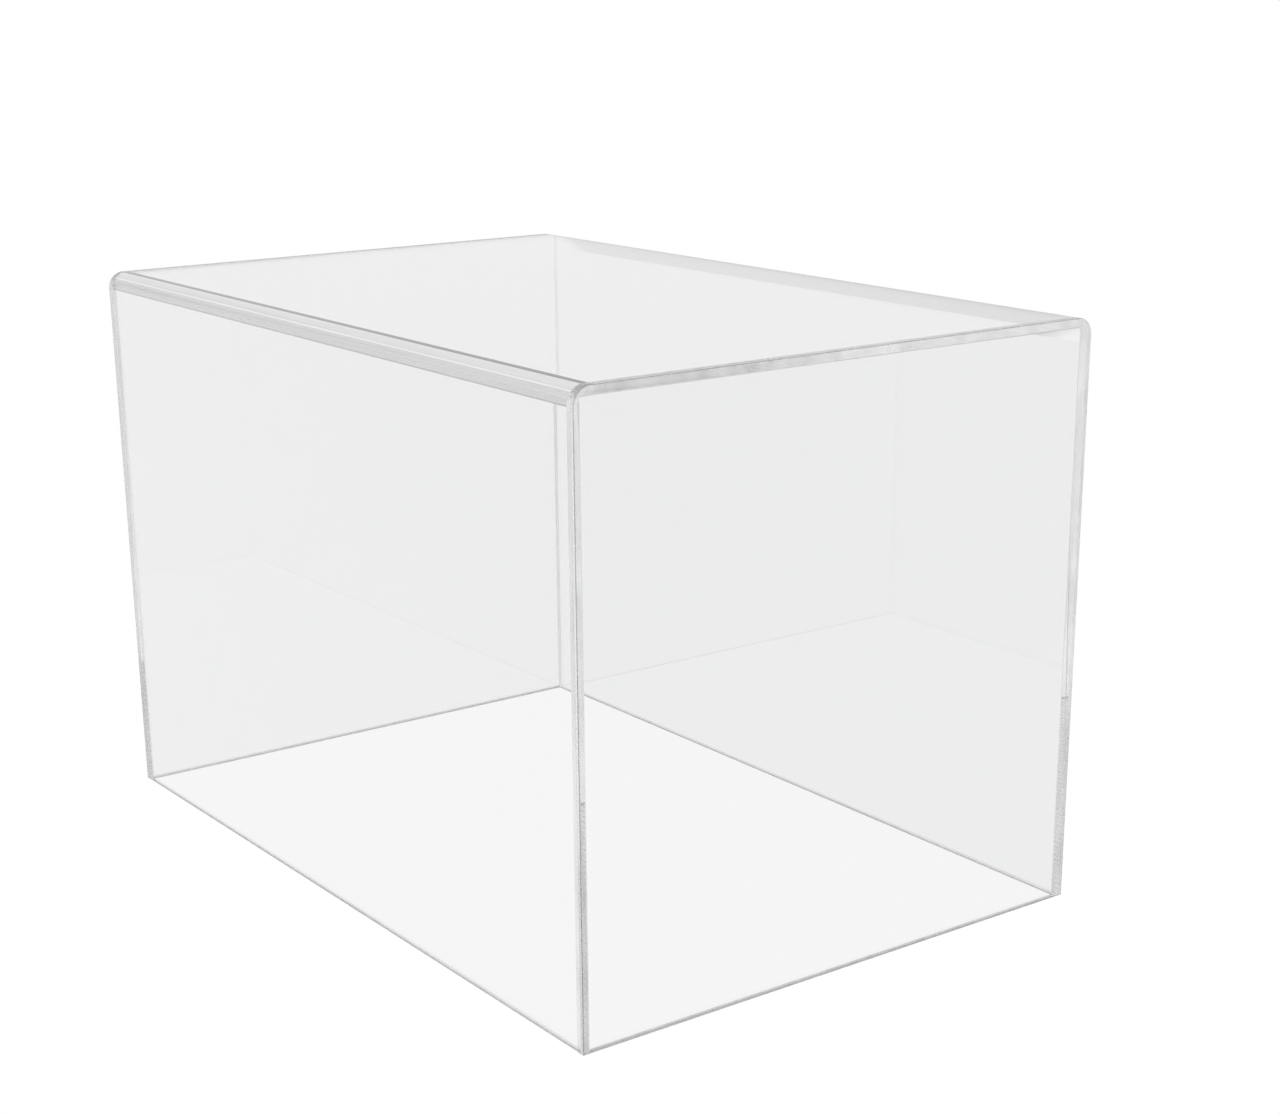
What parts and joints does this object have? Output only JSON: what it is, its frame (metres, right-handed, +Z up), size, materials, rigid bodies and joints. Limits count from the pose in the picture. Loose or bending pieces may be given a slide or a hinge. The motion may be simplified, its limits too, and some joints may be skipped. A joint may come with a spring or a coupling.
{
  "type": "display case",
  "caption": "Clear acrylic display cover for a scale model, open underneath, made of a sheet bent over front, top and rear with a cemented panel closing each end.",
  "frame": {"origin": "on the surface the rim stands on, under the middle of the cover", "axes": "+X along the length towards the right end panel, +Y from the front to the rear, +Z up"},
  "size_m": [0.464, 0.308, 0.305],
  "materials": {
    "clear_acrylic": "clear, glossy faces with polished cut edges",
    "cured_cement": "clear cured acrylic cement, slightly hazy"
  },
  "bodies": {
    "root": {"wrap_sheet": "clear_acrylic", "left_end_panel": "clear_acrylic", "right_end_panel": "clear_acrylic", "left_cement_bead": "cured_cement", "right_cement_bead": "cured_cement"}
  },
  "joints": []
}
